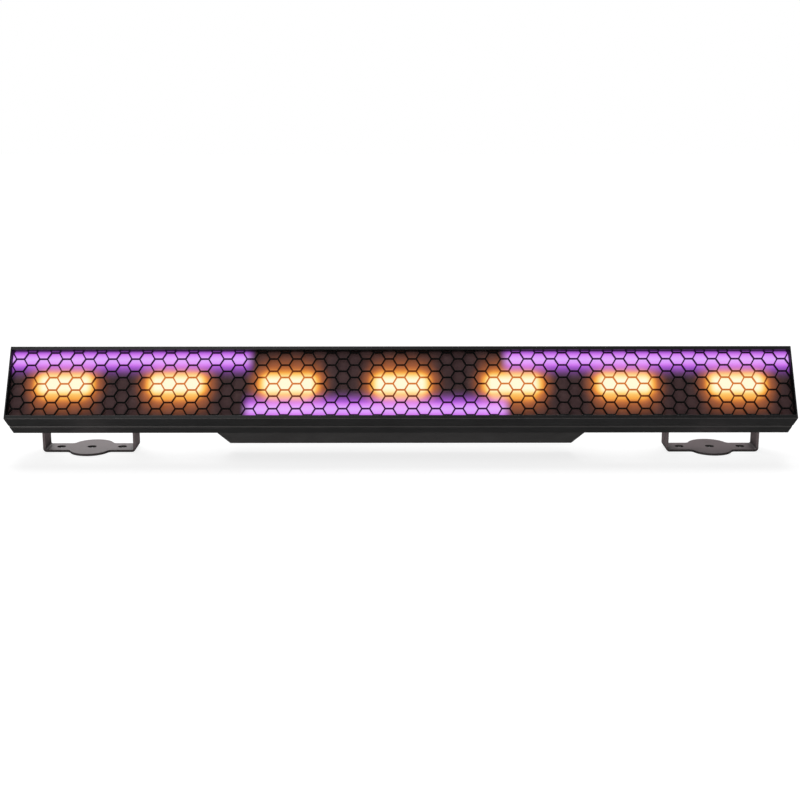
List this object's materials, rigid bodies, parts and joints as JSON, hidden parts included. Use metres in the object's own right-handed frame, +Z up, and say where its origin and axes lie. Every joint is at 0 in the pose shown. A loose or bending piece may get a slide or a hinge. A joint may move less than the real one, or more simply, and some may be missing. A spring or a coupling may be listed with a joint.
{
  "type": "led strip batten",
  "caption": "Stage light bar with a black honeycomb front over a smoked diffuser, warm white cells, colour strips, a rear control box and two swivelling floor brackets.",
  "frame": {"origin": "middle of the object's footprint, on the surface that the brackets stand on", "axes": "+X along the bar, +Y to the back, +Z up; the lit face looks towards -Y and leans back by 34.5 degrees"},
  "size_m": [1, 0.1326, 0.1438],
  "materials": {
    "black_anodised": "satin black anodised",
    "black_screws": "black zinc",
    "grille_black": "matte black",
    "smoked_diffuser": "frosted smoked acrylic, lit from behind",
    "bare_aluminium": "mill finish",
    "zinc_steel": "zinc plated",
    "black_plastic": "moulded",
    "white_board": "white solder mask",
    "led_packages": "led lens",
    "reflector_metal": "polished",
    "black_steel": "satin black powder coat",
    "display_acrylic": "tinted acrylic",
    "green_board": "green solder mask",
    "supply_board": "phenolic board",
    "electronic_parts": "moulded parts",
    "brass": "turned",
    "wire_insulation": "wire insulation",
    "button_plastic": "moulded",
    "blue_plastic": "moulded",
    "grey_plastic": "moulded",
    "fuse_glass": "clear",
    "lug_steel": "satin black",
    "friction_fibre": "pressed fibre",
    "bracket_steel": "satin dark grey",
    "knob_plastic": "moulded"
  },
  "bodies": {
    "bar": {"housing_extrusion": "black_anodised", "end_cap_left": "black_anodised", "end_cap_right": "black_anodised", "end_cap_screws": "black_screws", "panel_screws": "black_screws", "honeycomb_grille": "grille_black", "diffuser_panel": "smoked_diffuser", "led_tray": "bare_aluminium", "tray_screws": "zinc_steel", "safety_eye": "zinc_steel", "baffles": "black_plastic", "fuse_holder": "black_plastic", "dmx_inlet": "black_plastic", "dmx_outlet": "black_plastic", "wire_grommets": "black_plastic", "rgb_board_top": "white_board", "rgb_board_bottom": "white_board", "white_led_board_1": "white_board", "white_led_board_2": "white_board", "white_led_board_3": "white_board", "white_led_board_4": "white_board", "white_led_board_5": "white_board", "white_led_board_6": "white_board", "white_led_board_7": "white_board", "rgb_leds_top": "led_packages", "rgb_leds_bottom": "led_packages", "reflector_1": "reflector_metal", "reflector_2": "reflector_metal", "reflector_3": "reflector_metal", "reflector_4": "reflector_metal", "reflector_5": "reflector_metal", "reflector_6": "reflector_metal", "reflector_7": "reflector_metal", "control_box": "black_steel", "rear_cover": "black_steel", "display_window": "display_acrylic", "display_board": "green_board", "control_board": "green_board", "power_supply_board": "supply_board", "power_supply_parts": "electronic_parts", "board_standoffs": "brass", "socket_pins": "brass", "wire_harness": "wire_insulation", "power_inlet": "blue_plastic", "power_outlet": "grey_plastic", "fuse_link": "fuse_glass", "pivot_lugs": "lug_steel", "friction_washers": "friction_fibre"},
    "bracket_left": {"bracket_left": "bracket_steel"},
    "bracket_right": {"bracket_right": "bracket_steel"},
    "menu_button_1": {"menu_button_1": "button_plastic"},
    "menu_button_2": {"menu_button_2": "button_plastic"},
    "menu_button_3": {"menu_button_3": "button_plastic"},
    "menu_button_4": {"menu_button_4": "button_plastic"},
    "clamp_knob_left_outer": {"clamp_knob_left_outer": "knob_plastic"},
    "clamp_knob_left_inner": {"clamp_knob_left_inner": "knob_plastic"},
    "clamp_knob_right_outer": {"clamp_knob_right_outer": "knob_plastic"},
    "clamp_knob_right_inner": {"clamp_knob_right_inner": "knob_plastic"},
    "dmx_latch": {"dmx_latch": "zinc_steel"},
    "fuse_cap": {"fuse_cap": "button_plastic"}
  },
  "joints": [
    {"name": "bracket_left_tilt", "type": "hinge", "parent": "bar", "child": "bracket_left", "pos_m": [-0.409, 0.01998, 0.063], "axis": [1, 0, 0], "range_deg": [-33, 144]},
    {"name": "bracket_right_tilt", "type": "hinge", "parent": "bar", "child": "bracket_right", "pos_m": [0.409, 0.01998, 0.063], "axis": [1, 0, 0], "range_deg": [-33, 144]},
    {"name": "clamp_knob_left_outer_turn", "type": "hinge", "parent": "bar", "child": "clamp_knob_left_outer", "pos_m": [-0.479, 0.01998, 0.063], "axis": [1, 0, 0], "continuous": true},
    {"name": "clamp_knob_left_inner_turn", "type": "hinge", "parent": "bar", "child": "clamp_knob_left_inner", "pos_m": [-0.339, 0.01998, 0.063], "axis": [1, 0, 0], "continuous": true},
    {"name": "clamp_knob_right_outer_turn", "type": "hinge", "parent": "bar", "child": "clamp_knob_right_outer", "pos_m": [0.479, 0.01998, 0.063], "axis": [1, 0, 0], "continuous": true},
    {"name": "clamp_knob_right_inner_turn", "type": "hinge", "parent": "bar", "child": "clamp_knob_right_inner", "pos_m": [0.339, 0.01998, 0.063], "axis": [1, 0, 0], "continuous": true},
    {"name": "menu_button_1_press", "type": "slide", "parent": "bar", "child": "menu_button_1", "axis": [0, -0.8241, 0.5664], "range_m": [0, 0.001], "stiffness_N_per_m": 600},
    {"name": "menu_button_2_press", "type": "slide", "parent": "bar", "child": "menu_button_2", "axis": [0, -0.8241, 0.5664], "range_m": [0, 0.001], "stiffness_N_per_m": 600},
    {"name": "menu_button_3_press", "type": "slide", "parent": "bar", "child": "menu_button_3", "axis": [0, -0.8241, 0.5664], "range_m": [0, 0.001], "stiffness_N_per_m": 600},
    {"name": "menu_button_4_press", "type": "slide", "parent": "bar", "child": "menu_button_4", "axis": [0, -0.8241, 0.5664], "range_m": [0, 0.001], "stiffness_N_per_m": 600},
    {"name": "dmx_latch_press", "type": "slide", "parent": "bar", "child": "dmx_latch", "axis": [-0.9504, -0.2563, 0.1761], "range_m": [0, 0.0012], "stiffness_N_per_m": 600},
    {"name": "fuse_cap_turn", "type": "hinge", "parent": "bar", "child": "fuse_cap", "pos_m": [-0.23471, 0.0015, 0.03445], "axis": [-0.9504, 0.2563, -0.1761], "range_deg": [0, 90]}
  ]
}
